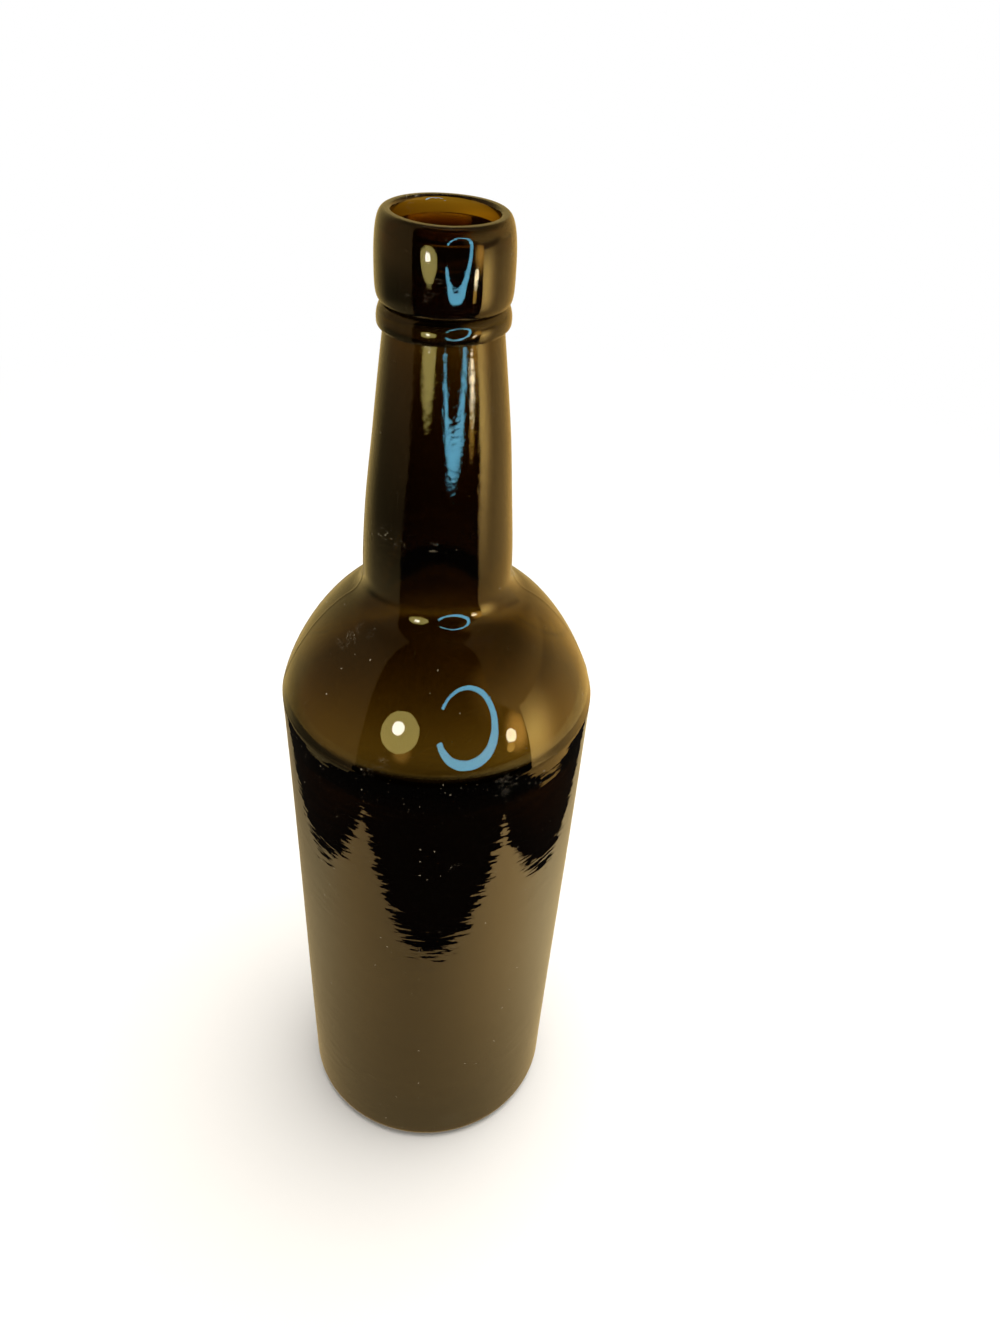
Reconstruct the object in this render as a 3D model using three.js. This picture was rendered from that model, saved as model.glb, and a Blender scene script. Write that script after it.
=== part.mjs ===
// Spirits bottle of dark olive-amber glass, blown in a three-piece mould and finished by hand at the mouth.
// It is three pieces of glass: the hollow bottle, a string rim round its neck and a lip band over its end.
// Millimetres, +Z up, the centre of the base at the origin. Tilts are in degrees from the axis.
import * as THREE from "three";

// Heights
const overallHeight = 285;
const seamHeight = 165;
const shoulderHeight = 33.5;
const finishHeight = 23.1;

// Body and base. The draft is how much the mould narrows on each side, from the seam down to the foot.
const seamDiameter = 81.6;
const bodyDraft = 1.8;
const bodyWall = 3.8;
const heelRadius = 4.2;
const innerHeelRadius = 9;
const bearingWidth = 4.5;
const baseThickness = 7;
const pushUpHeight = 17;
const pushUpCrownShare = 0.55;
const pushUpFlankShare = 0.86;

// Parting line of the mould, where the body meets the shoulder
const seamProud = 0.25;
const seamWidth = 0.9;
const shoulderSetIn = 0.4;

// Shoulder
const shoulderStartTilt = 21;
const shoulderEndTilt = 57;
const shoulderRoundness = 0.38;

// Neck
const neckFootDiameter = 36.2;
const neckFootHollow = 4;
const neckTopDiameter = 25.2;
const neckTopTilt = 7;
const neckSwellShare = 0.28;
const neckWall = 4;
const neckEndTaper = 0.6;
const neckEndWall = 2.2;
const neckEndRounding = 0.6;

// String rim, laid round the neck
const seatGap = 0.3;
const rimHeight = 5.2;
const rimThickness = 2.1;
const rimTopThickness = 0.85;
const rimEdgeRadius = 1;
const rimFlankHollow = 0.2;

// Lip band, laid over the neck's end
const bandThickness = 2.3;
const bandFootThickness = 1.1;
const bandFootCurve = 0.9;
const bandWidestShare = 0.43;
const bandSwellShare = 0.57;
const lipCover = 3.4;
const lipRimWidth = 1.2;
const lipRimCurve = 1.4;
const lipInnerRounding = 1;

// Faces round the axis, and steps along each kind of curve
const facesRound = 72;
const longCurveSteps = 8;
const shortCurveSteps = 5;
const roundingSteps = 3;

// Glass: the brown that thin walls show, and the near black of the thick finish
const bodyColour = 0x4a3214;
const finishColour = 0x1c150a;
const glassRoughness = 0.08;

const seamRadius = seamDiameter / 2;
const footRadius = seamRadius - bodyDraft;
const neckFootRadius = neckFootDiameter / 2;
const neckFootHeight = seamHeight + shoulderHeight;
const neckTopRadius = neckTopDiameter / 2;
const neckEndRadius = neckTopRadius - neckEndTaper;
const boreRadius = neckEndRadius - neckEndWall;
const seatRadius = neckEndRadius + seatGap;
const finishBottom = overallHeight - finishHeight;
const rimTop = finishBottom + rimHeight;
const bandBottom = rimTop + seatGap;
const neckEndHeight = overallHeight - lipCover - seatGap;

// A point of a profile: its distance from the axis, and its height.
function at(radius, height) {
  return new THREE.Vector2(radius, height);
}

// The point a distance up a line that tilts in towards the axis. A negative distance goes down it.
function along(from, tilt, distance) {
  const angle = THREE.MathUtils.degToRad(tilt);
  return at(from.x - distance * Math.sin(angle), from.y + distance * Math.cos(angle));
}

// Points of a smooth curve between two ends, pulled towards two handles.
function curve(start, startHandle, endHandle, end, steps) {
  return new THREE.CubicBezierCurve(start, startHandle, endHandle, end).getPoints(steps);
}

// Points of an arc round a centre, with its angles in degrees from straight outwards.
function arc(centre, radius, startAngle, endAngle, steps) {
  const points = [];
  for (let step = 0; step <= steps; step += 1) {
    const angle = THREE.MathUtils.degToRad(startAngle + ((endAngle - startAngle) * step) / steps);
    points.push(at(centre.x + radius * Math.cos(angle), centre.y + radius * Math.sin(angle)));
  }
  return points;
}

// A mesh turned round the +Z axis from a profile that starts and ends on the axis, or closes on itself.
function turned(name, profile, colour) {
  const glass = new THREE.MeshStandardMaterial({ color: colour, roughness: glassRoughness, metalness: 0 });
  const mesh = new THREE.Mesh(new THREE.LatheGeometry(profile, facesRound), glass);
  mesh.name = name;
  mesh.rotation.x = Math.PI / 2;
  return mesh;
}

// The pushed-up underside, from the axis down to the ring that the bottle stands on.
function undersideProfile() {
  const crown = at(0, pushUpHeight);
  const ring = at(footRadius - heelRadius - bearingWidth, 0);
  const crownHandle = at(ring.x * pushUpCrownShare, pushUpHeight);
  const ringHandle = at(ring.x * pushUpFlankShare, pushUpHeight * (1 - pushUpFlankShare));
  return curve(crown, crownHandle, ringHandle, ring, longCurveSteps);
}

// The rounded heel and the side, up to the mould's parting line, which stands a little proud.
function sideProfile() {
  const heelCentre = at(footRadius - heelRadius, heelRadius);
  return [
    ...arc(heelCentre, heelRadius, -90, 0, shortCurveSteps),
    at(seamRadius, seamHeight - seamWidth / 2),
    at(seamRadius + seamProud, seamHeight),
    at(seamRadius - shoulderSetIn, seamHeight + seamWidth / 2),
  ];
}

// The domed shoulder and the tight hollow where it turns up into the neck. Inside, the same form is set in.
function shoulderProfile(bodySetIn, neckSetIn, steps) {
  const hollowCentre = at(neckFootRadius + neckFootHollow, neckFootHeight);
  const hollow = arc(hollowCentre, neckFootHollow + neckSetIn, 180 + shoulderEndTilt, 180, shortCurveSteps);
  const start = at(seamRadius - shoulderSetIn - bodySetIn, seamHeight + seamWidth / 2);
  const end = hollow[0];
  const pull = start.distanceTo(end) * shoulderRoundness;
  const startHandle = along(start, shoulderStartTilt, pull);
  const endHandle = along(end, shoulderEndTilt, -pull);
  return [...curve(start, startHandle, endHandle, end, steps).slice(1, -1), ...hollow];
}

// One face of the neck's wall, from the neck's foot up to the string rim.
function neckProfile(footWall, topWall, steps) {
  const foot = at(neckFootRadius - footWall, neckFootHeight);
  const top = at(neckTopRadius - topWall, finishBottom);
  const pull = foot.distanceTo(top) * neckSwellShare;
  const footHandle = along(foot, 0, pull);
  const topHandle = along(top, neckTopTilt, -pull);
  return curve(foot, footHandle, topHandle, top, steps).slice(1);
}

// The neck's end inside the finish: a short cone, a straight seat, a rounded end and the bore.
function neckEndProfile() {
  const endCentre = at(neckEndRadius - neckEndRounding, neckEndHeight - neckEndRounding);
  return [
    at(neckEndRadius, rimTop),
    ...arc(endCentre, neckEndRounding, 0, 90, roundingSteps),
    at(boreRadius, neckEndHeight),
    at(boreRadius, rimTop),
  ];
}

// The inside of the body, from the seam down to the axis over the pushed-up base.
function insideProfile() {
  const floorEdge = at(footRadius - bodyWall - innerHeelRadius, baseThickness);
  const heelCentre = at(floorEdge.x, floorEdge.y + innerHeelRadius);
  const crown = at(0, pushUpHeight + baseThickness);
  const edgeHandle = at(floorEdge.x * pushUpFlankShare, floorEdge.y);
  const crownHandle = at(floorEdge.x * pushUpCrownShare, crown.y);
  return [
    at(seamRadius - bodyWall, seamHeight),
    ...arc(heelCentre, innerHeelRadius, 0, -90, roundingSteps),
    ...curve(floorEdge, edgeHandle, crownHandle, crown, shortCurveSteps).slice(1),
  ];
}

// The hollow bottle: base, body, shoulder and neck are one piece of blown glass.
function makeBody() {
  const innerShoulder = shoulderProfile(bodyWall - shoulderSetIn, neckWall, shortCurveSteps);
  const innerNeck = neckProfile(neckWall, neckTopRadius - boreRadius, shortCurveSteps);
  const profile = [
    ...undersideProfile(),
    ...sideProfile(),
    ...shoulderProfile(0, 0, longCurveSteps),
    ...neckProfile(0, 0, longCurveSteps),
    ...neckEndProfile(),
    ...innerNeck.reverse(),
    ...innerShoulder.reverse(),
    ...insideProfile(),
  ];
  return turned("bottle_body", profile, bodyColour);
}

// The string rim: a skirt of glass round the neck, widest just above its lower edge.
function makeStringRim() {
  const boreFoot = at(neckTopRadius + seatGap, finishBottom);
  const boreTop = at(seatRadius, rimTop);
  const widest = at(seatRadius + rimThickness, finishBottom + rimEdgeRadius);
  const groove = at(seatRadius + rimTopThickness, rimTop);
  const edgeCentre = at(widest.x - rimEdgeRadius, widest.y);
  const flankHandle = at(widest.x, widest.y + rimEdgeRadius);
  const grooveHandle = at(groove.x + rimFlankHollow, groove.y - rimEdgeRadius);
  const profile = [
    boreFoot,
    ...arc(edgeCentre, rimEdgeRadius, -90, 0, shortCurveSteps),
    ...curve(widest, flankHandle, grooveHandle, groove, shortCurveSteps).slice(1),
    boreTop,
    boreFoot,
  ];
  return turned("string_rim", profile, finishColour);
}

// The lip band: a tall, slightly swelling collar that covers the neck's end and forms the mouth.
function makeLipBand() {
  const outerRadius = seatRadius + bandThickness;
  const innerFoot = at(seatRadius, bandBottom);
  const foot = at(seatRadius + bandFootThickness, bandBottom);
  const footHandle = at(outerRadius, bandBottom + bandFootCurve);
  const widest = at(outerRadius, bandBottom + (overallHeight - bandBottom) * bandWidestShare);
  const belowWidest = at(outerRadius, widest.y - (widest.y - bandBottom) * bandSwellShare);
  const aboveWidest = at(outerRadius, widest.y + (overallHeight - widest.y) * bandSwellShare);
  const innerCentre = at(boreRadius + lipInnerRounding, overallHeight - lipInnerRounding);
  const rimOuter = at(innerCentre.x + lipRimWidth, overallHeight);
  const rimHandle = at(rimOuter.x + lipRimCurve, overallHeight);
  const profile = [
    innerFoot,
    ...curve(foot, footHandle, belowWidest, widest, shortCurveSteps),
    ...curve(widest, aboveWidest, rimHandle, rimOuter, longCurveSteps).slice(1),
    ...arc(innerCentre, lipInnerRounding, 90, 180, roundingSteps),
    at(boreRadius, neckEndHeight + seatGap),
    at(seatRadius, neckEndHeight + seatGap),
    innerFoot,
  ];
  return turned("lip_band", profile, finishColour);
}

const bottle = new THREE.Group();
bottle.add(makeBody(), makeStringRim(), makeLipBand());

export default bottle;
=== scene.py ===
import math
import bpy
import numpy as np
from mathutils import Matrix, Vector


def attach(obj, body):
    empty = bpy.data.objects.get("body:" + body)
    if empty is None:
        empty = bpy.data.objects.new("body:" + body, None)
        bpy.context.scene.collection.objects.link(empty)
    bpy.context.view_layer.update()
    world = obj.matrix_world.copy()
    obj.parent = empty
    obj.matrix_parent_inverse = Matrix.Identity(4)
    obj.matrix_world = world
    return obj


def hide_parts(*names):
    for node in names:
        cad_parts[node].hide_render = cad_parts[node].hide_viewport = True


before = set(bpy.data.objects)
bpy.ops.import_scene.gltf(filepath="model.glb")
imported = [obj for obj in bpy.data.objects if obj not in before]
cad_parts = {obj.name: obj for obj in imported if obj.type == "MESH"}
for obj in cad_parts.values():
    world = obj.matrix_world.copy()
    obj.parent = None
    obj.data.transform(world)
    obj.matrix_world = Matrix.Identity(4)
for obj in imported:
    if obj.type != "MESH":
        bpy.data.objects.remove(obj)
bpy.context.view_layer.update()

# The bottle: a single gather of dark olive-amber glass, blown hollow into a three-piece mould. The body mould
# leaves rippled sides, the two shoulder halves leave a smooth dome, and the base is pushed up from below.
# Sizes are in millimetres and tilts in degrees, as in the solid model. They become metres in the mesh.
mm = 0.001
seam_height, seam_radius = 165.0, 41.0
foot_radius = 39.4
heel_radius, inner_heel_radius = 4.2, 9.0
bearing_width = 4.5
push_up = 17.0
crown_share, flank_share = 0.55, 0.86
shoulder_lift, shoulder_set_in = 0.12, 0.05
shoulder_first_tilt, shoulder_last_tilt = 14, 57
shoulder_roundness = 0.29
shoulder_top = 201.2
neck_foot, neck_foot_hollow = 18.3, 9.0
neck_top, neck_top_height, neck_top_tilt = 12.95, 261.9, 7
neck_swell = 0.24
seat_foot_height = 267.1
neck_end, neck_end_height = 12.0, 281.3
neck_end_bevel_width, neck_end_bevel_height = 0.25, 0.3
bore, bore_flare = 9.8, 0.55
bore_straight_top, bore_flare_drop = 274.0, 6.3
body_wall, shoulder_wall, neck_wall = 4.4, 1.5, 4.8
floor_thickness = 7.0
inner_side_drop = 4.2


def curve(start, start_handle, end_handle, end, steps):
    """Points of a cubic curve: the four points, weighted by the terms of ((1 - t) + t) cubed, for t from 0 to 1."""
    t = np.linspace(0, 1, steps + 1)[:, None]
    p0, p1, p2, p3 = (np.array(p, float) for p in (start, start_handle, end_handle, end))
    return p0 * (1 - t) ** 3 + p1 * 3 * t * (1 - t) ** 2 + p2 * 3 * t**2 * (1 - t) + p3 * t**3


def arc(centre, radius, first, last, steps):
    """Points at one distance from a centre, as the angle from straight outwards goes from first to last in degrees."""
    angle = np.radians(np.linspace(first, last, steps + 1))
    return np.stack([centre[0] + radius * np.cos(angle), centre[1] + radius * np.sin(angle)], 1)


def tilted(point, tilt, distance):
    """A point moved a distance up a line that leans in towards the axis by an angle in degrees."""
    angle = math.radians(tilt)
    return (point[0] - distance * math.sin(angle), point[1] + distance * math.cos(angle))


def shoulder_line(wall, neck_set_in, dome_steps, hollow_steps):
    """The dome, a cubic curve from the seam that leans in by its first and last tilt, and the hollow, an arc that
    turns it up into the neck. Both are set in from the outside by the walls."""
    centre = (neck_foot + neck_foot_hollow, shoulder_top)
    hollow = arc(centre, neck_foot_hollow + neck_set_in, 180 + shoulder_last_tilt, 180, hollow_steps)
    start, end = (seam_radius - shoulder_set_in - wall, seam_height + shoulder_lift), hollow[0]
    pull = math.dist(start, end) * shoulder_roundness
    start_handle, end_handle = tilted(start, shoulder_first_tilt, pull), tilted(end, shoulder_last_tilt, -pull)
    return curve(start, start_handle, end_handle, end, dome_steps), hollow


def neck_line(foot_wall, top_wall, steps):
    """One face of the neck's wall: a cubic curve, upright at its foot and leaning in under the string rim."""
    foot = (neck_foot - foot_wall, shoulder_top)
    top = (neck_top - top_wall, neck_top_height)
    pull = math.dist(foot, top) * neck_swell
    return curve(foot, tilted(foot, 0, pull), tilted(top, neck_top_tilt, -pull), top, steps)


heel_centre = (foot_radius - heel_radius, heel_radius)
ring_inner = heel_centre[0] - bearing_width
crown_handle = (ring_inner * crown_share, push_up)
ring_handle = (ring_inner * flank_share, push_up * (1 - flank_share))
underside = curve((0, push_up), crown_handle, ring_handle, (ring_inner, 0), steps=26)
heel = arc(heel_centre, heel_radius, -90, 0, steps=12)
side = np.linspace(heel[-1], (seam_radius, seam_height), 150)
dome, hollow = shoulder_line(0, 0, dome_steps=44, hollow_steps=12)
neck = neck_line(0, 0, steps=62)
neck_mouth = np.array([
    (neck_end, seat_foot_height),
    (neck_end, neck_end_height - neck_end_bevel_height),
    (neck_end - neck_end_bevel_width, neck_end_height),
    (bore + bore_flare, neck_end_height - bore_flare_drop),
    (bore, bore_straight_top),
    (bore, seat_foot_height),
])
outside = np.concatenate([underside[:-1], heel, side[1:], dome, hollow[1:], neck[1:], neck_mouth])

inner_neck = neck_line(neck_wall, neck_top - bore, steps=22)
inner_dome, inner_hollow = shoulder_line(shoulder_wall, neck_wall, dome_steps=14, hollow_steps=6)
floor_edge = (foot_radius - body_wall - inner_heel_radius, floor_thickness)
inner_heel = arc((floor_edge[0], floor_edge[1] + inner_heel_radius), inner_heel_radius, 0, -90, steps=8)
inner_side = np.linspace((seam_radius - body_wall, seam_height - inner_side_drop), inner_heel[0], 20)
inner_crown = push_up + floor_thickness
edge_handle = (floor_edge[0] * flank_share, floor_thickness)
inner_crown_handle = (floor_edge[0] * crown_share, inner_crown)
inner_base = curve(floor_edge, edge_handle, inner_crown_handle, (0, inner_crown), steps=14)
inner_shoulder = np.concatenate([inner_hollow[::-1][1:], inner_dome[::-1][1:]])
inside = np.concatenate([inner_neck[::-1], inner_shoulder, inner_side, inner_heel[1:], inner_base[1:]])


def apart(first, second):
    """The angle between two directions round the axis: the size of the shorter turn from one to the other."""
    return np.abs(np.angle(np.exp(1j * (first - second))))


def mould_columns(seams, even_columns, spread, least_step):
    """Angles round the axis: even steps, with a few more close on each side of the mould's upright seams. An even
    one that is nearer than the least step to one of those is left out."""
    even = np.arange(even_columns) * 2 * np.pi / even_columns
    extra = np.concatenate([seam + spread for seam in seams])
    keep = apart(even[:, None], extra[None, :]).min(1) > least_step
    return np.sort(np.concatenate([even[keep], extra % (2 * np.pi)]))


def fade(value, low, high):
    """0 below low, 1 above high, and a smooth step of 3 t squared less 2 t cubed between them."""
    t = np.clip((value - low) / (high - low), 0, 1)
    return t * t * (3 - 2 * t)


def reach(value, rise, fall):
    """1 along a stretch, which fades in over its rise and out over its fall."""
    return fade(value, *rise) * (1 - fade(value, *fall))


def drift(angle, height, turns, climbs, seed):
    """A slow unevenness between 0 and 1: a mean of sines of whole turns round the axis that climb with height."""
    phases = np.random.default_rng(seed).uniform(0, 2 * np.pi, len(turns))
    waves = [np.sin(n * angle + height * c + p) for n, c, p in zip(turns, climbs, phases)]
    return 0.5 + 0.5 * sum(waves) / len(waves)


def axis_bow(height):
    """How far the hand-blown axis strays at a height: to the left at the base and in the neck, where it comes partly
    back higher up, and not at all from the upper body to the shoulder."""
    return -0.95 * (1 - fade(height, 5, 150)) - 0.6 * fade(height, 188, 203) + 0.4 * fade(height, 217, 240)


def glass_mesh(name, radius, height, angle, poles=None):
    """A surface turned round the axis: row i, column j is at radius[i, j] and height[i, j] in the direction of
    column j, and moves aside with the axis. Its first and last rows meet on the axis, at the heights of the two
    poles, or join each other where there are no poles."""
    rows, columns = radius.shape
    strays = axis_bow(height)
    points = np.stack([radius * np.cos(angle) + strays, radius * np.sin(angle), height], -1).reshape(-1, 3)
    row = np.arange(rows - 1 if poles else rows)[:, None] * columns
    row_after = (row + columns) % (rows * columns)
    here = np.arange(columns)[None, :]
    there = (here + 1) % columns
    faces = np.stack([row + here, row + there, row_after + there, row_after + here], -1).reshape(-1, 4).tolist()
    if poles:
        points = np.concatenate([points, [[strays[0, 0], 0, poles[0]], [strays[-1, 0], 0, poles[1]]]])
        first_pole, last_pole, last_row = rows * columns, rows * columns + 1, (rows - 1) * columns
        faces += np.stack([np.full(columns, first_pole), there[0], here[0]], -1).tolist()
        faces += np.stack([np.full(columns, last_pole), last_row + here[0], last_row + there[0]], -1).tolist()
    mesh = bpy.data.meshes.new(name)
    mesh.from_pydata((points * mm).tolist(), [], faces)
    mesh.shade_smooth()
    mesh.update()
    piece = bpy.data.objects.new(name, mesh)
    bpy.context.scene.collection.objects.link(piece)
    return piece


mould_seams = np.radians([4.0, 184.0])
seam_spread = np.radians([-1.6, -1.1, -0.75, -0.45, -0.2, 0, 0.2, 0.45, 0.75, 1.1, 1.6])
angle = mould_columns(mould_seams, even_columns=224, spread=seam_spread, least_step=0.004)[None, :]

# Outside: the mould's ripples and the shoulder's settling only take glass away, so the bottle stays in its box.
ripple_depth, fine_ripple_depth, settling = 0.035, 0.02, 0.06
seam_proud, seam_half_width = 0.11, 0.38
sag_depth = 0.5
out_r, out_z = outside[1:, :1], outside[1:, 1:]
ripple = ripple_depth * drift(angle, out_z, [3, 8, 13, 21, 5], [0.11, 0.34, 0.52, 0.83, 1.1], seed=11)
ripple = ripple + fine_ripple_depth * drift(angle, out_z, [17, 29, 34, 9], [1.6, 0.9, 2.1, 2.7], seed=12)
ripple = ripple * reach(out_z, (6, 22), (158, 165))
settled = settling * fade(out_z, 166, 180) * drift(angle, out_z, [2, 3, 5], [0.03, 0.06, 0.09], seed=13)
from_seam = apart(angle[..., None], mould_seams).min(-1) * out_r
ridge = seam_proud * reach(out_z, (165.6, 168), (196, 224)) * np.exp(-((from_seam / seam_half_width) ** 2))
under = (np.arange(len(out_r)) < len(underside) - 2)[:, None]
radius_out = np.where(under, out_r, out_r - ripple - settled + ridge)
sag = sag_depth * reach(out_r, (0, 8), (20, 29)) * drift(angle, out_r, [2, 3, 1], [0.2, 0.3, 0.1], seed=14)
height_out = out_z - np.where(under, sag, 0)

# Inside: the wall is uneven, thinner over the shoulder and at the back, and thicker in the neck.
in_r, in_z = inside[:-1, :1], inside[:-1, 1:]
in_body = reach(in_z, (12, 40), (150, 185))
body_thins = in_body * (0.5 * drift(angle, in_z, [1, 2, 3, 4], [0.02, 0.035, 0.05, 0.07], seed=15) - 0.25)
neck_thins = 0.25 * reach(in_z, (180, 200), (250, 262)) * drift(angle, in_z, [1, 2, 3], [0.03, 0.05, 0.1], seed=16)
at_sides = fade(np.abs(np.cos(angle)), 0.1, 0.6)
shoulder_thins = reach(in_z, (163, 167), (178, 196)) * (0.35 * at_sides + 0.25 * np.cos(angle + 0.6) - 0.1)
back_thins = 0.9 * reach(in_z, (70, 95), (140, 160)) * fade(np.sin(angle), 0, 0.6)
neck_thickens = 1.3 * reach(in_z, (197, 210), (245, 262))
bore_widens = 0.6 * fade(in_z, 262, 281)
radius_in = in_r + body_thins + neck_thins + shoulder_thins + back_thins - neck_thickens + bore_widens
height_in = np.broadcast_to(in_z, radius_in.shape)

bottle_radius, bottle_height = np.concatenate([radius_out, radius_in]), np.concatenate([height_out, height_in])
bottle = glass_mesh("bottle_glass", bottle_radius, bottle_height, angle, poles=(push_up, inner_crown))


class Amount:
    """A value that varies over a surface. Sums on it become Math nodes of its recipe."""

    def __init__(self, recipe, socket):
        self.recipe, self.socket = recipe, socket

    def worked(self, operation, *terms):
        """A Math node on its terms, which are amounts or numbers."""
        return self.recipe.node("ShaderNodeMath", {"operation": operation}, dict(enumerate(terms)))

    def __add__(self, other):
        return self.worked("ADD", self, other)

    def __sub__(self, other):
        return self.worked("SUBTRACT", self, other)

    def __rsub__(self, other):
        return self.worked("SUBTRACT", other, self)

    def __mul__(self, other):
        return self.worked("MULTIPLY", self, other)

    __radd__, __rmul__ = __add__, __mul__

    def between(self, low, high):
        """0 up to low, 1 from high on, and a smooth step between them."""
        limits = {0: self, 1: low, 2: high}
        return self.recipe.node("ShaderNodeMapRange", {"interpolation_type": "SMOOTHSTEP"}, limits)


class Recipe:
    """The nodes of a material or of the world. Its patterns read place: the piece's own coordinates in metres, or
    the direction of a ray in the world."""

    def __init__(self, owner, coordinates="Object"):
        owner.use_nodes = True
        self.owner, self.tree = owner, owner.node_tree
        self.tree.nodes.clear()
        self.place = self.node("ShaderNodeTexCoord", out=coordinates)

    def node(self, kind, settings={}, sockets={}, out=0):
        """Adds a node, gives it its settings, then the values or links of its sockets, and returns one output."""
        made = self.tree.nodes.new(kind)
        for key, value in settings.items():
            setattr(made, key, value)
        for key, value in sockets.items():
            if isinstance(value, Amount):
                self.tree.links.new(value.socket, made.inputs[key])
            else:
                made.inputs[key].default_value = value
        return Amount(self, made.outputs[out]) if made.outputs else None

    def part(self, axis):
        """The part of the place that lies along one axis."""
        return self.node("ShaderNodeSeparateXYZ", {}, {0: self.place}, axis)

    def distance(self, spot=(0, 0, 0)):
        """How far the place is from a spot."""
        return self.node("ShaderNodeVectorMath", {"operation": "DISTANCE"}, {0: self.place, 1: spot}, "Value")

    def noise(self, scale, detail, roughness, stretch=(1, 1, 1)):
        """Cloudy unevenness between 0 and 1, with scale cells to the metre, stretched along the axes."""
        spot = self.node("ShaderNodeMapping", {}, {"Vector": self.place, "Scale": stretch})
        cloud = {"Vector": spot, "Scale": scale, "Detail": detail, "Roughness": roughness}
        return self.node("ShaderNodeTexNoise", {}, cloud)

    def blend(self, share, first, second):
        """The first colour where the share is 0 and the second where it is 1."""
        return self.node("ShaderNodeMix", {"data_type": "RGBA"}, {0: share, 6: first, 7: second}, 2)

    def scaled(self, colour, amount):
        """A colour of light times an amount."""
        return self.node("ShaderNodeVectorMath", {"operation": "SCALE"}, {0: colour, "Scale": amount}, "Vector")


def specks(recipe, cells, share):
    """Single specks of dust: the middles of a few of the cells of a pattern with so many cells to the metre."""
    pattern = {"Vector": recipe.place, "Scale": cells}
    middle = 1 - recipe.node("ShaderNodeTexVoronoi", {}, pattern, "Distance").between(0.06, 0.16)
    colour = recipe.node("ShaderNodeTexVoronoi", {}, pattern, "Color")
    chance = recipe.node("ShaderNodeSeparateColor", {}, {0: colour}, "Red")
    return middle * chance.between(1 - share, 1.02 - share)


def hairlines(recipe, cells, stretch, width):
    """Thin scratches: where a stretched noise passes through its middle value."""
    offset = recipe.noise(cells, 3, 0.6, stretch) - 0.5
    return 1 - recipe.node("ShaderNodeMath", {"operation": "ABSOLUTE"}, {0: offset}).between(width * 0.3, width)


def dark_glass(recipe, depth_colour, relief, lift, marks, roughness):
    """Clear glass that takes its colour from its depth. Relief is the height of its surface, of lift metres, and
    marks is where it carries dust or white scratches."""
    bump = recipe.node("ShaderNodeBump", {}, {"Strength": 1.0, "Distance": lift, "Height": relief})
    clear = {"Base Color": (1, 1, 1, 1), "IOR": 1.52, "Transmission Weight": 1.0}
    glass = recipe.node("ShaderNodeBsdfPrincipled", {}, {**clear, "Roughness": roughness, "Normal": bump})
    dusty = {"Base Color": (0.5, 0.43, 0.3, 1), "Roughness": 0.8, "Specular IOR Level": 0.2}
    dust = recipe.node("ShaderNodeBsdfPrincipled", {}, dusty)
    surface = recipe.node("ShaderNodeMixShader", {}, {0: marks, 1: glass, 2: dust})
    depth = recipe.node("ShaderNodeVolumeAbsorption", {}, {"Color": depth_colour, "Density": 2000})
    recipe.node("ShaderNodeOutputMaterial", {}, {"Surface": surface, "Volume": depth})
    return recipe.owner


# Its surface: the body mould's fine ripples, long streaks in the drawn neck, a calm dome, a worn ring low on the
# neck, faint scuffs, and dust that lies thickest under the seam.
blown = Recipe(bpy.data.materials.new("olive_amber_glass"))
level = blown.part("Z")
ripples = blown.noise(150, 1, 0.45, (1, 1, 3.8)) + blown.noise(60, 1, 0.5, (1, 1, 2.0)) * 1.2
streaks = blown.noise(420, 3, 0.6, (1, 1, 0.2)) * 0.5 + blown.noise(1300, 2, 0.6, (1, 1, 0.7)) * 0.6
dome_swell = blown.noise(45, 2, 0.5) * 0.25
worn_ring = level.between(0.2155, 0.2168) * (1 - level.between(0.2175, 0.2195))
scratches = hairlines(blown, 260, (1, 1, 3), 0.014) * blown.noise(120, 3, 0.6).between(0.52, 0.6) * worn_ring
scuffs = hairlines(blown, 500, (1, 1, 1.5), 0.012) * blown.noise(70, 3, 0.6).between(0.66, 0.72)
under_seam = level.between(0.152, 0.163) * (1 - level.between(0.1645, 0.166))
dust = specks(blown, 560, 0.07) * 0.6 + specks(blown, 800, 0.35) * under_seam * 0.5
relief = ripples * (1 - level.between(0.16, 0.166)) + streaks * level.between(0.196, 0.212)
relief = relief + dome_swell - scratches * 0.3
marks = scratches * 0.8 + scuffs * 0.25 + dust
film = blown.noise(60, 4, 0.65).between(0.45, 0.8) * 0.03 + 0.015
olive_amber = (0.725, 0.665, 0.45, 1)
bottle.data.materials.append(dark_glass(blown, olive_amber, relief, lift=6e-5, marks=marks, roughness=film))
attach(bottle, "root")
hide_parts("bottle_body")

# The string rim: a thread of the same glass laid hot round the neck and tooled into a skirt. It hangs a little
# lower on the left, as it was laid on by hand. The tool leaves its outside a little uneven.
rim_bottom, rim_top = neck_top_height, seat_foot_height
seat_gap = 0.12
tooling_depth, rim_waviness = 0.07, 0.1
rim_edge_centre, rim_edge_radius = (13.42, rim_bottom + 0.95), 0.95
rim_bulge_centre, rim_bulge_radius = (8.4, rim_bottom + 1.75), 6.0
rim_flank, rim_flank_handle = (13.96, rim_bottom + 4.0), (13.7, rim_bottom + 4.6)
rim_groove_handle, rim_groove = (13.4, rim_top), (12.9, rim_top)
rim_rings = np.concatenate([
    [(neck_top + seat_gap, rim_bottom)],
    arc(rim_edge_centre, rim_edge_radius, -90, -8, steps=10),
    arc(rim_bulge_centre, rim_bulge_radius, -6, 22, steps=14),
    curve(rim_flank, rim_flank_handle, rim_groove_handle, rim_groove, steps=8)[1:],
    [(neck_end + seat_gap, rim_top)],
])
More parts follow.
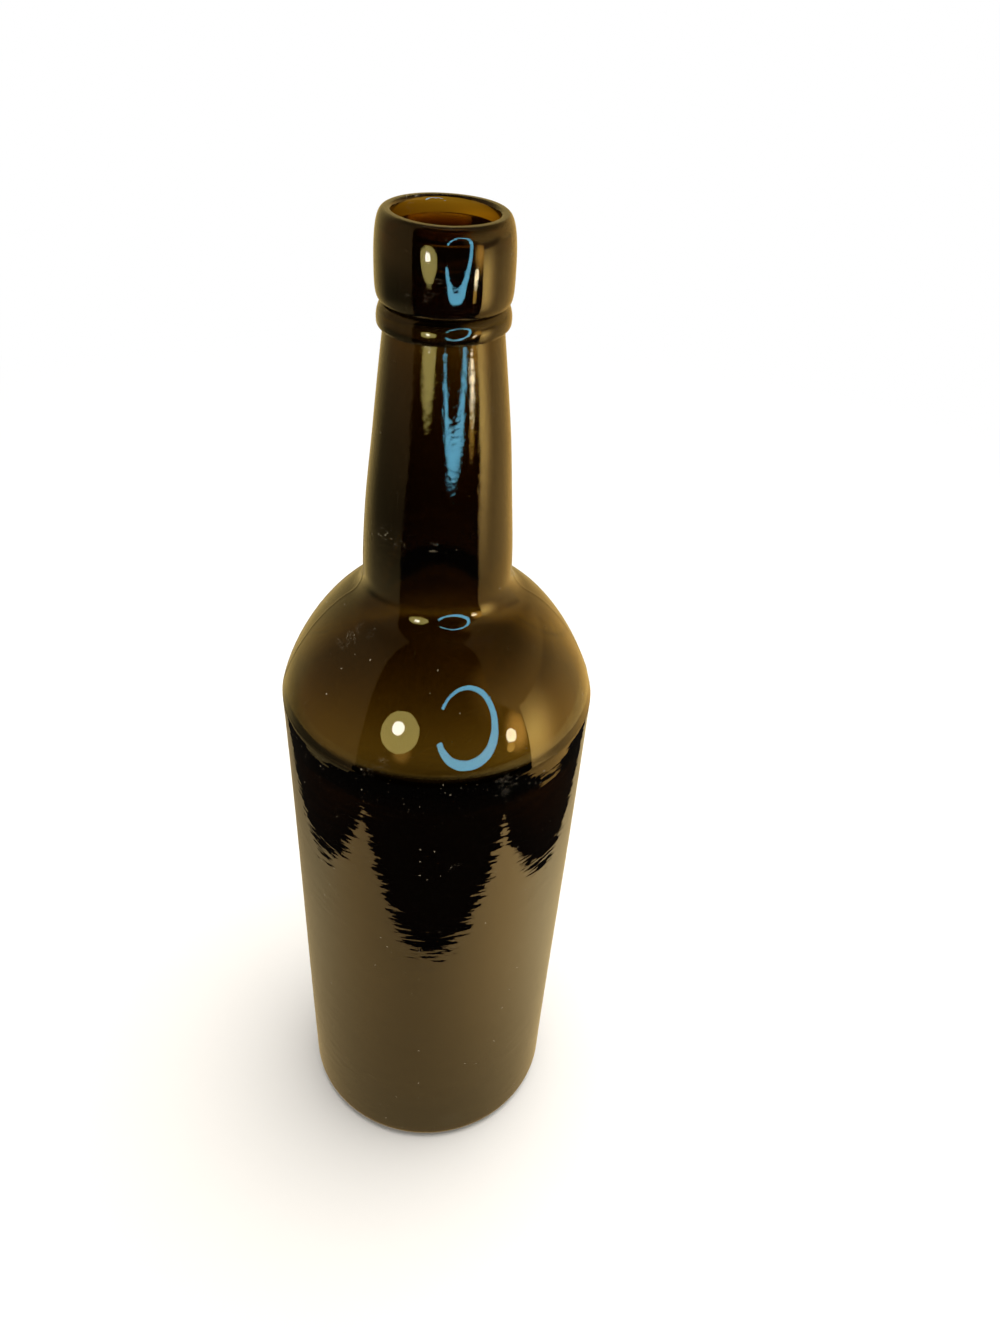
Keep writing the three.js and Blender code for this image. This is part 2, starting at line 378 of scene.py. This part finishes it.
even = (np.arange(192) * 2 * np.pi / 192)[None, :]
ring_r, ring_z = rim_rings[:, :1], rim_rings[:, 1:]
rim_r = ring_r - tooling_depth * drift(even, ring_z, [1, 3, 5, 8], [0.2, 0.3, 0.5, 0.4], seed=21)
rim_r[[0, -1]] = ring_r[[0, -1]]
rim_z = ring_z + rim_waviness * (drift(even, ring_r, [2, 3, 4], [0, 0, 0], seed=22) - 0.5)


def lean_over(radius, height, tilt, lowered):
    """Heights of a ring that leans about the line of sight: each falls by its distance to the right times the slope
    of the tilt, and all are lowered a little, to make room for the side that rises."""
    return height - radius * np.cos(even) * math.tan(math.radians(tilt)) - lowered


def tooled_glass(name, depth_colour):
    """Glass with the fine rings that the turning tool leaves, a few specks and short scratches."""
    tooled = Recipe(bpy.data.materials.new(name))
    tool_rings = tooled.noise(150, 3, 0.6, (1, 1, 6)) + tooled.noise(500, 2, 0.5) * 0.5
    scratched = hairlines(tooled, 240, (1, 1, 3), 0.02) * tooled.noise(80, 3, 0.6).between(0.58, 0.68)
    nicks = specks(tooled, 420, 0.05) * 0.5 + scratched * 0.3
    return dark_glass(tooled, depth_colour, tool_rings, lift=1.2e-5, marks=nicks, roughness=0.05)


rim = glass_mesh("string_rim_glass", rim_r, lean_over(rim_r, rim_z, tilt=-0.9, lowered=0.14), even)
rim.data.materials.append(tooled_glass("tooled_rim_glass", (0.5, 0.42, 0.0, 1)))
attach(rim, "root")
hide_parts("string_rim")

# The lip band: a taller string of glass laid over the neck's cut end, and turned in the lipping tool, which rounds
# its foot, swells its side and leaves a narrow rim round the bore. It leans a little down to the right.
band_bottom, lip_top = 267.4, 285.0
band_radius, band_waviness = 14.65, 0.16
lip_outer, lip_inner = (12.4, lip_top), (11.7, lip_top)
band_widest = band_bottom + (lip_top - band_bottom) * 0.43
foot_handle, below_widest = (band_radius, band_bottom + 0.6), (band_radius, band_widest - 4.3)
widest, above_widest = (band_radius, band_widest), (14.6, band_widest + 6.6)
band_rings = np.concatenate([
    [(neck_end + seat_gap, band_bottom)],
    curve((13.8, band_bottom), foot_handle, below_widest, widest, steps=16),
    curve(widest, above_widest, (13.9, lip_top), lip_outer, steps=24)[1:],
    curve(lip_inner, (11.2, lip_top), (11.0, lip_top - 0.4), (10.9, lip_top - 1.1), steps=8),
    [(bore + 0.45, neck_end_height - 6.2)],
    [(neck_end - neck_end_bevel_width, neck_end_height + 0.15)],
    [(neck_end + seat_gap, neck_end_height - 0.2)],
])
ring_r, ring_z = band_rings[:, :1], band_rings[:, 1:]
band_r = ring_r - tooling_depth * drift(even, ring_z, [1, 2, 3, 5], [0.05, 0.1, 0.2, 0.3], seed=31)
on_seat = [0, -1, -2, -3]
band_r[on_seat] = ring_r[on_seat]
band_z = ring_z - band_waviness * fade(ring_z, 268, 284) * drift(even, 0, [1, 2, 4], [0, 0, 0], seed=32)
band = glass_mesh("lip_band_glass", band_r, lean_over(band_r, band_z, tilt=0.7, lowered=0.16), even)
band.data.materials.append(tooled_glass("tooled_lip_glass", (0.66, 0.54, 0.05, 1)))
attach(band, "root")
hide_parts("lip_band")

# The floor: plain and pale, with the bottle's shadow on it, and white farther off. Seen through glass it shows a
# painted shadow under the bottle and painted lamplight around it, brighter on the right, as on the lit sheet.


def card(name, points, faces, material, rays=("glossy",)):
    """A card of the studio, from its corners and faces, that only the listed kinds of rays meet."""
    mesh = bpy.data.meshes.new(name)
    mesh.from_pydata(np.array(points).tolist(), [], faces)
    mesh.materials.append(material)
    piece = bpy.data.objects.new(name, mesh)
    bpy.context.scene.collection.objects.link(piece)
    for ray in ("camera", "diffuse", "glossy", "transmission", "shadow"):
        setattr(piece, "visible_" + ray, ray in rays)


def level_card(name, low, high, height, material, rays=("glossy",)):
    """A level rectangle between two corners, at a height."""
    corners = [(low[0], low[1]), (high[0], low[1]), (high[0], high[1]), (low[0], high[1])]
    card(name, [(x, y, height) for x, y in corners], [(0, 1, 2, 3)], material, rays)


floor_half_size, floor_height = 5, -0.0002
pale = Recipe(bpy.data.materials.new("pale_floor"))
from_bottle = pale.distance()
by_camera = pale.node("ShaderNodeLightPath", out="Is Camera Ray")
by_glass = pale.node("ShaderNodeLightPath", out="Is Transmission Ray")
matt = pale.node("ShaderNodeBsdfDiffuse", {}, {"Color": (0.86, 0.85, 0.83, 1)})
white = pale.node("ShaderNodeEmission", {}, {"Color": (1, 1, 1, 1), "Strength": 1.0})
seen_plain = pale.node("ShaderNodeMixShader", {}, {0: by_camera * from_bottle.between(0.2, 0.7), 1: matt, 2: white})
# Painted shadow and light for rays through the glass: dim under the bottle, bright round it, brighter to the right.
painted_shadow_and_light = from_bottle.between(0.1, 0.19) * (1.35 + pale.part("X").between(-0.02, 0.12) * 1.4) + 0.12
through = pale.node("ShaderNodeEmission", {}, {"Color": pale.scaled((1, 0.97, 0.9), painted_shadow_and_light), "Strength": 1.0})
floor_face = pale.node("ShaderNodeMixShader", {}, {0: by_glass, 1: seen_plain, 2: through})
pale.node("ShaderNodeOutputMaterial", {}, {"Surface": floor_face})
floor_corners = (-floor_half_size, -floor_half_size), (floor_half_size, floor_half_size)
level_card("floor", *floor_corners, floor_height, pale.owner, rays=("camera", "diffuse", "transmission", "shadow"))

# What the lower glass mirrors, on cards for reflections only: the warm sheet that the bottle was photographed on,
# and the dark table beyond the sheet's edges.
sheet_left, sheet_right, sheet_front, sheet_back, sheet_height = -0.14, 0.132, -0.112, 0.9, 0.0006
table_left, table_right, table_back, table_height = -0.2, 0.19, 0.2, 0.0008
table_reach = 0.7
table = Recipe(bpy.data.materials.new("dark_table"))
table_face = table.node("ShaderNodeBsdfDiffuse", {}, {"Color": (0.012, 0.01, 0.008, 1)})
table.node("ShaderNodeOutputMaterial", {}, {"Surface": table_face})
table_turn = np.radians(np.linspace(-54, 66, 25))
table_edge = table_reach * np.stack([np.sin(table_turn), -np.cos(table_turn)], 1)
left_corners, right_corners = [(table_left, sheet_front), (-0.3, -0.2)], [(0.3, -0.15), (table_right, sheet_front)]
outline = np.concatenate([left_corners, table_edge, right_corners])
fan = np.column_stack([outline, np.full(len(outline), table_height)])
card("dark_table_front", fan, [tuple(range(len(fan)))], table.owner)
level_card("dark_table_left", (table_left, sheet_front), (sheet_left, table_back), table_height, table.owner)
level_card("dark_table_right", (sheet_right, sheet_front), (table_right, table_back), table_height, table.owner)


def glowing(recipe, colour, strength=1.0):
    """Ends a recipe with a face that gives off light of a colour, and returns its material."""
    face = recipe.node("ShaderNodeEmission", {}, {"Color": colour, "Strength": strength})
    recipe.node("ShaderNodeOutputMaterial", {}, {"Surface": face})
    return recipe.owner


sheet = Recipe(bpy.data.materials.new("lit_sheet"))
to_right, to_back = sheet.part("X"), sheet.part("Y")
# Painted light on the sheet's glow: brighter to the right and front, dimmer to the back, with a painted shadow round
# the bottle's foot.
painted_sheet_light = to_right.between(-0.03, 0.15) * 1.25 + (1 - to_right.between(-0.16, -0.02)) * 0.25 + 0.92
painted_sheet_light = painted_sheet_light * (1.05 - to_back.between(-0.12, 0.12) * 0.7)
painted_sheet_light = painted_sheet_light * (sheet.distance().between(0.03, 0.105) * 0.3 + 0.7)
sheet_tint = sheet.blend(to_back.between(-0.09, 0.03), (1, 0.65, 0.25, 1), (1, 0.75, 0.37, 1))
sheet_glow = glowing(sheet, sheet.scaled(sheet_tint, painted_sheet_light))
level_card("warm_sheet", (sheet_left, sheet_front), (sheet_right, sheet_back), sheet_height, sheet_glow)

# The dark room in front, which the middle of the glass mirrors: a bent card, part of a sphere round the shoulder,
# whose sides turn in as it climbs, with three patches of lamplight on it.
hood_rows, hood_columns = 30, 25
hood_centre_height, hood_radius = 0.19, 0.62


def grid_faces(rows, columns):
    """Faces of a grid of points: each joins a point, the next in its row, and the two after them in the next row."""
    corner = np.arange(rows - 1)[:, None] * columns + np.arange(columns - 1)[None, :]
    return np.stack([corner, corner + 1, corner + columns + 1, corner + columns], -1).reshape(-1, 4).tolist()


across, climb = np.meshgrid(np.linspace(0, 1, hood_columns), np.linspace(-28, 88, hood_rows))
left_edge = -52 - 4 * fade(climb, 0, 45)
right_edge = 63 - 18 * fade(climb, 6, 24) + 8 * fade(climb, 30, 60)
hood_turn, hood_climb = np.radians(left_edge + (right_edge - left_edge) * across), np.radians(climb)
level_reach = hood_radius * np.cos(hood_climb)
hood_z = hood_centre_height + hood_radius * np.sin(hood_climb)
hood = np.stack([level_reach * np.sin(hood_turn), -level_reach * np.cos(hood_turn), hood_z], -1).reshape(-1, 3)
room = Recipe(bpy.data.materials.new("lamplit_wall"))
room_light = 0.012
patches = (
    ((0.52, -0.34, 0.225), 0.03, 0.13, 5.5),
    ((0.4, -0.37, 0.47), 0.02, 0.24, 0.9),
    ((-0.24, -0.56, 0.225), 0.03, 0.09, 2.2),
)
for spot, bright_radius, dark_radius, patch_strength in patches:
    room_light = (1 - room.distance(spot).between(bright_radius, dark_radius)) * patch_strength + room_light
room_glow = glowing(room, room.scaled((1, 0.5, 0.09), room_light))
card("dark_room_front", hood, grid_faces(hood_rows, hood_columns), room_glow)

# The lamplit wall on the right, which the right side of the glass mirrors: a card that bends round the bottle,
# brightest beside the side lamp and a little dimmer towards its top.
wall_radius, wall_foot, wall_top, wall_columns = 0.39, 0.001, 0.262, 25
swing = np.radians(np.linspace(62.5, 128, wall_columns))
wall_edge = [wall_radius * np.sin(swing), -wall_radius * np.cos(swing)]
wall_rows = [np.stack([*wall_edge, np.full(wall_columns, z)], -1) for z in (wall_foot, wall_top)]
wall = Recipe(bpy.data.materials.new("lamplit_side_light"))
from_lamp = 1 - wall.distance((0.36, -0.155, 0.166)).between(0.0, 0.225)
near_lamp = from_lamp * from_lamp
wall_tint = wall.blend(near_lamp, (1, 0.6, 0.18, 1), (1, 0.66, 0.18, 1))
wall_light = (near_lamp * 5.5 + 1.15) * (1 - wall.part("Z").between(0.16, wall_top) * 0.25)
wall_glow = glowing(wall, wall.scaled(wall_tint, wall_light))
card("lamplit_side", np.concatenate(wall_rows), grid_faces(2, wall_columns), wall_glow)

# The lamps that the glass mirrors: a blue ring lamp with a gap on its left, a round shade with its bulb, and a
# small side lamp with a painted dim amber glow of lamplight below it.
lamp_steps = 72


def lamp_card(name, centre, inner, outer, turn, slant, colour, strength):
    """An upright lamp across the line of sight. Its edges are ovals round a centre: a radius to the right times the
    cosine of the turn, and a radius upwards times the sine of the turn plus the slant."""
    rows = []
    for radii in (inner, outer):
        right, up = radii[0] * np.cos(turn), radii[1] * np.sin(turn + slant)
        rows.append(np.stack([centre[0] + right, np.full(len(turn), centre[1]), centre[2] + up], -1))
    material = glowing(Recipe(bpy.data.materials.new(name)), (*colour, 1), strength)
    card(name, np.concatenate(rows), grid_faces(2, len(turn)), material)


def disc_lamp(name, centre, radii, colour, strength):
    """A full oval, from its centre out to its radii."""
    lamp_card(name, centre, (0, 0), radii, np.radians(np.linspace(0, 360, lamp_steps + 1)), 0, colour, strength)


ring_turn = np.radians(np.linspace(-165, 152, lamp_steps + 1))
half_width = (0.027 + 0.014 * np.cos(ring_turn) - 0.007 * np.sin(ring_turn)) / 2
ring_inner_edge, ring_outer_edge = ([r + way * half_width for r in (0.1224, 0.1139)] for way in (-1, 1))
ring_centre, ring_slant = (0.1267, -0.275, 0.2764), math.radians(12)
lamp_card("ring_lamp", ring_centre, ring_inner_edge, ring_outer_edge, ring_turn, ring_slant, (0.22, 0.72, 1.0), 10)
disc_lamp("shade_lamp", (-0.1285, -0.259, 0.2395), (0.0745, 0.0535), (1.0, 0.82, 0.24), 5)
disc_lamp("shade_lamp_bulb", (-0.13, -0.258, 0.247), (0.024, 0.017), (1.0, 0.93, 0.75), 25)
disc_lamp("side_lamp", (0.234, -0.193, 0.198), (0.032, 0.017), (1.0, 0.82, 0.5), 22)
# A painted glow: lamplight on what lies below the side lamp, shown on a card that is no lamp.
disc_lamp("side_lamp_painted_glow", (0.216, -0.192, 0.172), (0.022, 0.012), (1.0, 0.55, 0.1), 6)

# The soft light from above, which throws the shadow, and the pale room around. The camera sees the room white.
# The gloss mirrors it brown and dim on the left, lamplit on the right and darker overhead, as in the photograph.
overhead = bpy.data.lights.new("soft_overhead", "AREA")
overhead.shape, overhead.size, overhead.energy, overhead.color = "DISK", 1.4, 26, (1.0, 0.97, 0.92)
overhead_lamp = bpy.data.objects.new("soft_overhead", overhead)
overhead_lamp.location = (0.25, 0.1, 1.5)
towards_bottle = Vector((0, 0, 0.1)) - overhead_lamp.location
overhead_lamp.rotation_euler = towards_bottle.to_track_quat("-Z", "Y").to_euler()
overhead_lamp.visible_glossy = False
bpy.context.scene.collection.objects.link(overhead_lamp)

bpy.context.scene.world = bpy.data.worlds.new("pale_room")
sky = Recipe(bpy.context.scene.world, "Generated")
rightwards, backwards, upwards = sky.part("X"), sky.part("Y"), sky.part("Z")
left_floor = sky.blend(upwards.between(-0.54, -0.38), (0.34, 0.25, 0.1, 1), (0.15, 0.11, 0.045, 1))
left_front = sky.blend(upwards.between(-0.36, -0.2), left_floor, (0.42, 0.26, 0.095, 1))
left_room = sky.blend(backwards.between(0.25, 0.85), left_front, (0.75, 0.54, 0.19, 1))
right_wall = sky.blend(upwards.between(0.2, 0.6), (1.2, 0.7, 0.19, 1), (0.5, 0.28, 0.07, 1))
near_level = upwards.between(-0.14, -0.06) * (1 - upwards.between(0.04, 0.1))
shadowed = (1 - backwards.between(-0.05, 0.3)) * near_level * 0.8
right_room = sky.blend(shadowed, right_wall, (0.2, 0.12, 0.05, 1))
mirrored = sky.blend(rightwards.between(0.05, 0.6), left_room, right_room)
dimmed = sky.scaled(mirrored, 1 - upwards.between(0.5, 0.95) * 0.5)
lighting = sky.blend(sky.node("ShaderNodeLightPath", out="Is Glossy Ray"), (0.6, 0.575, 0.54, 1), dimmed)
seen = sky.blend(sky.node("ShaderNodeLightPath", out="Is Camera Ray"), lighting, (1, 1, 1, 1))
background = sky.node("ShaderNodeBackground", {}, {"Color": seen, "Strength": 1.0})
sky.node("ShaderNodeOutputWorld", {}, {"Surface": background})

# The camera stands 34 cm up and 22 cm in front, looks down by 38 degrees and is turned a few degrees, as in the
# photograph. The picture is 1000 by 1333, and the focal length was fitted in its pixels.
down_by, turned_by, rolled_by = (math.radians(a) for a in (37.86, 4.264, -3.75))
focal_pixels, picture_height, sensor_size = 1050.1, 1333, 36
camera_place = (0, -0.2201, 0.3416)
heading = Vector((math.sin(turned_by) * math.cos(down_by), math.cos(turned_by) * math.cos(down_by), -math.sin(down_by)))
level_right = Vector((math.cos(turned_by), -math.sin(turned_by), 0))
level_down = heading.cross(level_right)
picture_right = level_right * math.cos(rolled_by) + level_down * math.sin(rolled_by)
picture_down = level_down * math.cos(rolled_by) - level_right * math.sin(rolled_by)
camera = bpy.data.objects.new("camera", bpy.data.cameras.new("camera"))
turned = Matrix((picture_right, -picture_down, -heading)).transposed().to_4x4()
camera.matrix_world = Matrix.Translation(camera_place) @ turned
camera.data.sensor_width = sensor_size
camera.data.lens = sensor_size * focal_pixels / picture_height
camera.data.clip_start = 0.01
bpy.context.scene.collection.objects.link(camera)
bpy.context.scene.camera = camera
bpy.context.scene.view_settings.view_transform = "Standard"
